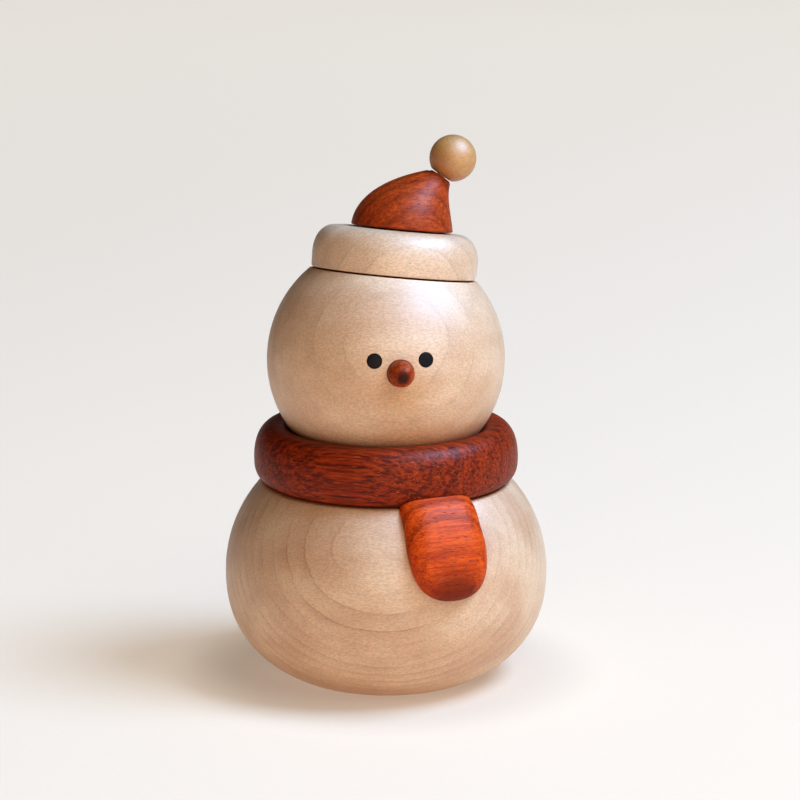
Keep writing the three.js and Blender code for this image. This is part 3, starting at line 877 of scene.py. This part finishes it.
def make_snowman():
    body = make_body()
    dress(body, maple("maple_body", Grain(body, -7.2, 34, first=0.12, spacing=2.1),
                      "e0b78f", "ce9d74", "a05a2a", line_strength=0.6))
    stands_for(body, "body", "lower")

    ring = make_scarf_ring()
    dress(ring, padauk("padauk_ring", Grain(ring, -25, 35, first=0.3, spacing=3.4),
                       "a83c12", "5a180a", "300e10", "c0601e", streak=(0.03, 2.0), pore_size=(0.3, 2.6),
                       pore_strength=0.5, band_strength=0.4, fibre=0.35))
    stands_for(ring, "scarf_ring", "lower")

    tail = make_scarf_tail()
    # Towards its foot the tail is darker: partly darker heartwood, and partly painted shade where its end
    # curves under.
    foot = direction(TAIL_AZIMUTH, 0) * (BODY_RADIUS + TAIL_THICKNESS) + Vector((0, 0, TAIL_BOTTOM_Z))
    dress(tail, padauk("padauk_tail", Grain(tail, TAIL_AZIMUTH, 8, first=0.8, spacing=3.1),
                       "e25c18", "bc400e", "541408", "3c120a", streak=(0.09, 1.8), pore_size=(0.6, 3.0),
                       pore_strength=0.6, band_strength=0.45, tinted_spot=(foot, 9, "5c1608", 0.75)))
    stands_for(tail, "scarf_tail", "lower")

    head = make_head()
    # A warmer tint on the head, centred a little below the nose.
    below_nose = HEAD_CENTRE + direction(0, NOSE_ELEVATION - TINT_BELOW_NOSE) * HEAD_RADIUS
    dress(head, maple("maple_head", Grain(head, -0.8, 39, first=2.26, spacing=3.7),
                      "e4bb94", "d4a378", "a87848", line_strength=0.34,
                      tinted_spot=(below_nose, 6.0, "c8883c", 0.4)))
    stands_for(head, "head", "upper")

    eyes = {name: make_eye(name + "_plug", azimuth)
            for name, azimuth in (("eye_left", -EYE_AZIMUTH), ("eye_right", EYE_AZIMUTH))}
    black = ebony("ebony_eye", Grain(eyes["eye_left"], 0, 0, first=0, spacing=1))
    for name, eye in eyes.items():
        dress(eye, black)
        stands_for(eye, name, "upper")

    nose = make_nose()
    # The nose is darker round a spot a little below its tip.
    tip = HEAD_CENTRE + direction(0, NOSE_ELEVATION - DARK_SPOT_BELOW_TIP) * (HEAD_RADIUS + NOSE_LENGTH)
    dress(nose, padauk("padauk_nose", Grain(nose, 60, 20, first=0.5, spacing=1.6),
                       "b8501a", "8a2e0e", "5c1c0c", "4a160a", streak=(0.4, 2.0), pore_size=(0.8, 3.6),
                       pore_strength=0.4, band_strength=0.3, tinted_spot=(tip, 1.9, "300c06", 0.9)))
    stands_for(nose, "nose", "upper")

    brim = make_hat_brim()
    dress(brim, maple("maple_brim", Grain(brim, 5, 12, first=0.5, spacing=4.2),
                      "e6bf9a", "d8ac84", "8c5c3a", line_strength=0.36))
    stands_for(brim, "hat_brim", "upper")

    crown = make_hat_crown()
    dress(crown, padauk("padauk_crown", Grain(crown, 12, 20, first=0.26, spacing=3.4),
                        "bc501c", "943612", "541a10", "4a180c", streak=(0.6, 1.7), pore_size=(1.2, 2.8),
                        pore_strength=0.4, band_strength=0.45))
    stands_for(crown, "hat_crown", "upper")

    pompom = make_pompom()
    dress(pompom, maple("maple_pompom", Grain(pompom, 30, 10, first=1.0, spacing=5),
                        "c8904a", "b47232", "8a5424", line_strength=0.2))
    stands_for(pompom, "pompom", "upper")

    birch = maple("birch_dowel", Grain(body, 90, 0, first=0, spacing=1.5),
                  "ead2ae", "dcbc90", "a47c50", line_strength=0.4)
    for name in ("tail_dowel", "neck_dowel", "hat_dowel", "pompom_pin"):
        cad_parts[name].material_slots[0].material = birch


# Studio

def make_floor():
    """A pale floor, lit a little from within like a light table, that sweeps up into a low wall far out."""
    curve = superellipse((FLOOR_REACH, FLOOR_SWEEP), FLOOR_SWEEP, FLOOR_SWEEP, 2, -math.pi / 2, 0)
    edge = curve[-1][0] + FLOOR_THICKNESS
    profile = [(0, 0)] + curve + [(edge, FLOOR_SWEEP), (edge, -FLOOR_THICKNESS), (0, -FLOOR_THICKNESS)]
    floor = turned("floor", profile, sides=SMALL_SIDES, fine=False)
    nodes = Nodes("floor_paper")
    point = nodes.position()
    speckle = nodes.noise(point, 3.0, 0.6)
    colour = nodes.mix(speckle, *[linear(shade) for shade in FLOOR_SHADES])
    nodes.feed(nodes.shader.inputs["Base Color"], colour)
    nodes.shader.inputs["Roughness"].default_value = 0.9
    nodes.shader.inputs["Specular IOR Level"].default_value = 0.1

    out = nodes.distance(point, (0, 0, 0))
    far = nodes.ramp(out, *GLOW_CHANGES)
    nodes.feed(nodes.shader.inputs["Emission Color"], nodes.mix(far, *GLOW_COLOURS))
    backwards = -direction(CAMERA_AZIMUTH, 0)
    behind = nodes.dot(point, backwards)
    sideways = nodes.math("ABSOLUTE", nodes.dot(point, backwards.cross(Vector((0, 0, 1)))))
    reach = nodes.math("ADD", nodes.math("MAXIMUM", behind, 0), CAMERA_DISTANCE / METRES)
    beside = nodes.ramp(nodes.math("DIVIDE", sideways, reach), *GLOW_SIDES, 1, GLOW_AT_SIDES)
    near = nodes.math("MAXIMUM", nodes.ramp(far, 0, GLOW_NEAR, 1, 0), nodes.ramp(behind, *GLOW_FRONT, 1, 0))
    # Painted contact shadow: the floor's glow is dimmer under the snowman.
    painted_contact_shadow = nodes.ramp(out, *PAINTED_SHADOW_REACH, GLOW_IN_PAINTED_SHADOW, 1)
    strength = nodes.math("MULTIPLY", nodes.math("MAXIMUM", beside, near), painted_contact_shadow)
    nodes.feed(nodes.shader.inputs["Emission Strength"], strength)
    dress(floor, nodes.material)


def add_light(name, azimuth, elevation, distance, size, power, colour):
    """A soft round light that faces the snowman. Its azimuth is measured from the camera's."""
    data = bpy.data.lights.new(name, "AREA")
    data.shape = "DISK"
    data.size = size
    data.energy = power
    data.color = colour
    light = bpy.data.objects.new(name, data)
    towards = direction(CAMERA_AZIMUTH + azimuth, elevation)
    light.location = towards * distance + Vector((0, 0, CAMERA_AIM_HEIGHT))
    light.rotation_euler = (-towards).to_track_quat("-Z", "Y").to_euler()
    bpy.context.scene.collection.objects.link(light)


def make_studio():
    make_floor()
    for name, settings in LIGHTS.items():
        add_light(name, *settings)
    world = bpy.data.worlds.new("studio")
    world.use_nodes = True
    sky = world.node_tree.nodes["Background"]
    sky.inputs["Color"].default_value = WORLD_COLOUR
    sky.inputs["Strength"].default_value = WORLD_STRENGTH
    scene = bpy.context.scene
    scene.world = world
    scene.view_settings.view_transform = "Standard"
    scene.view_settings.look = "Medium High Contrast"
    scene.view_settings.exposure = EXPOSURE


def make_camera():
    data = bpy.data.cameras.new("camera")
    data.lens = CAMERA_LENS
    camera = bpy.data.objects.new("camera", data)
    azimuth = math.radians(CAMERA_AZIMUTH)
    right = Vector((math.cos(azimuth), math.sin(azimuth), 0))
    towards = direction(CAMERA_AZIMUTH, CAMERA_ELEVATION)
    aim = Vector((0, 0, CAMERA_AIM_HEIGHT)) + right * CAMERA_AIM_RIGHT
    camera.location = aim + towards * CAMERA_DISTANCE
    camera.rotation_euler = (-towards).to_track_quat("-Z", "Y").to_euler()
    bpy.context.scene.collection.objects.link(camera)
    bpy.context.scene.camera = camera


make_camera()
make_snowman()
make_studio()
